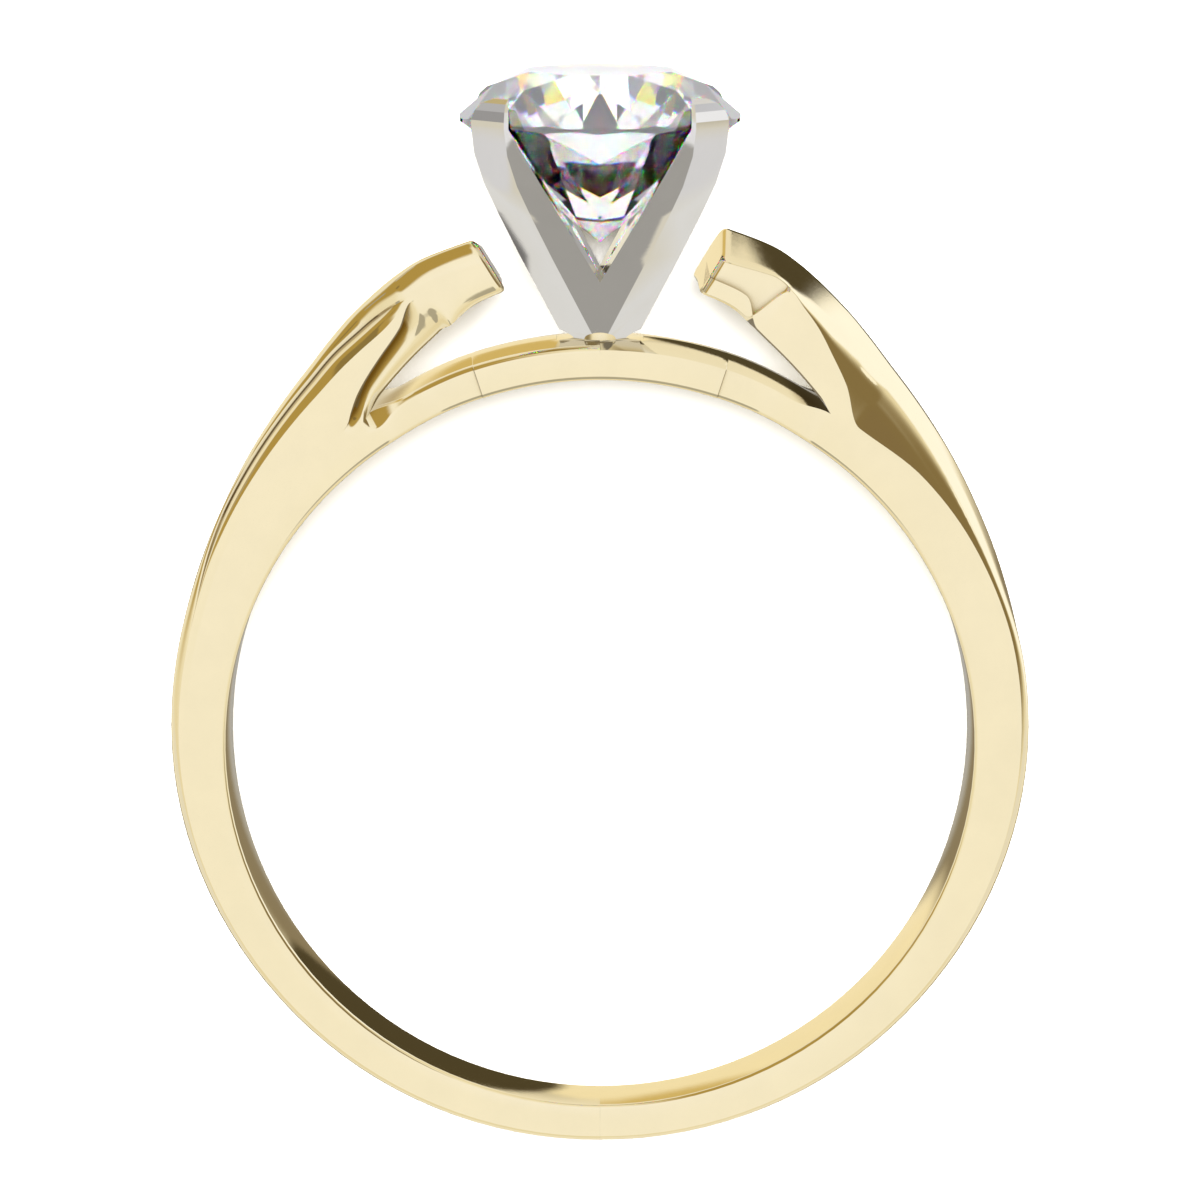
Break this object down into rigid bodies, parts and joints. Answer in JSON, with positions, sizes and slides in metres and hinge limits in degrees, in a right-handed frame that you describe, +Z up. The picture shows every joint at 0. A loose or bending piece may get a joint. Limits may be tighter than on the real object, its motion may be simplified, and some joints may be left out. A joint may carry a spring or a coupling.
{
  "type": "solitaire engagement ring",
  "caption": "Two-tone solitaire ring: yellow-gold band with split bypass shoulders and a bridge, white-gold V-cut prong head, round brilliant.",
  "frame": {"origin": "middle of the underside of the bounding box: the floor under the middle of the ring as it lies on its side", "axes": "+Z up from the floor, about along the finger hole's axis; +Y along the ring's length, from the bottom of the band to the stone; +X across the ring"},
  "size_m": [0.0198, 0.0252, 0.0064],
  "materials": {
    "yellow_gold": "mirror polished",
    "white_gold": "mirror polished",
    "diamond": "polished facets"
  },
  "bodies": {
    "root": {"shank": "yellow_gold", "head": "white_gold", "center_stone": "diamond"}
  },
  "joints": []
}
